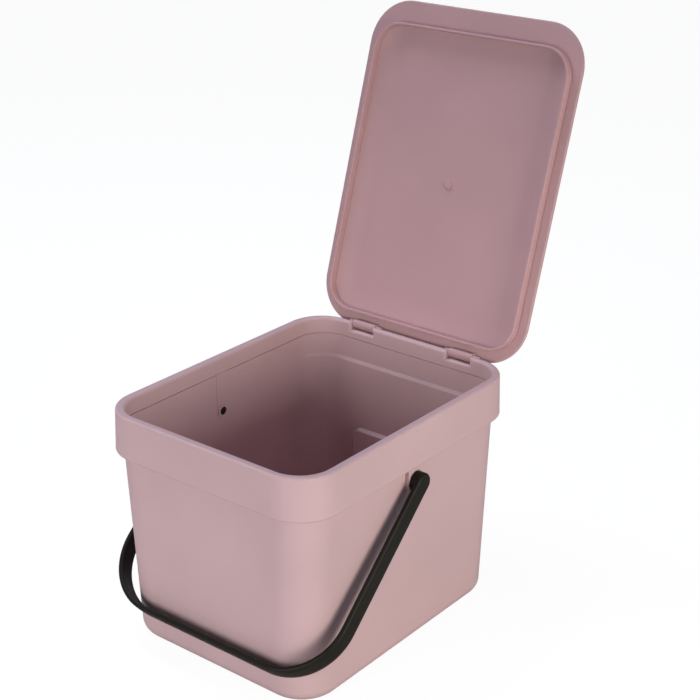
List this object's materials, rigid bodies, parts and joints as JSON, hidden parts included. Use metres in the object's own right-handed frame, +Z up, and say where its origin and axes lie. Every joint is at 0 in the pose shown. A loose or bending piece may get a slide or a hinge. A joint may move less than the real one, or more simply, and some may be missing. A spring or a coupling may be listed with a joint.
{
  "type": "waste bin",
  "caption": "Small rectangular kitchen waste bin: a tapered bucket with a proud collar, a hinged lid standing open and a dark strip bail handle resting on the front wall.",
  "frame": {"origin": "on the floor under the middle of the collar", "axes": "+Z up, the front wall with the resting handle at -Y, the lid's hinge at +Y, +X across the width"},
  "size_m": [0.2176, 0.3416, 0.441],
  "materials": {
    "body_plastic": "dusty pink, fine matte moulding",
    "lid_plastic": "dusty pink, fine matte moulding",
    "handle_plastic": "dark grey, matte"
  },
  "bodies": {
    "bucket": {"bin_body": "body_plastic"},
    "cover": {"lid": "lid_plastic"},
    "bail": {"carry_handle": "handle_plastic"}
  },
  "joints": [
    {"name": "lid_hinge", "type": "hinge", "parent": "bucket", "child": "cover", "pos_m": [0, 0.128, 0.1887], "axis": [1, 0, 0], "range_deg": [0, 107]},
    {"name": "handle_pivot", "type": "hinge", "parent": "bucket", "child": "bail", "pos_m": [0, 0, 0.145], "axis": [-1, 0, 0], "range_deg": [0, 180]}
  ]
}
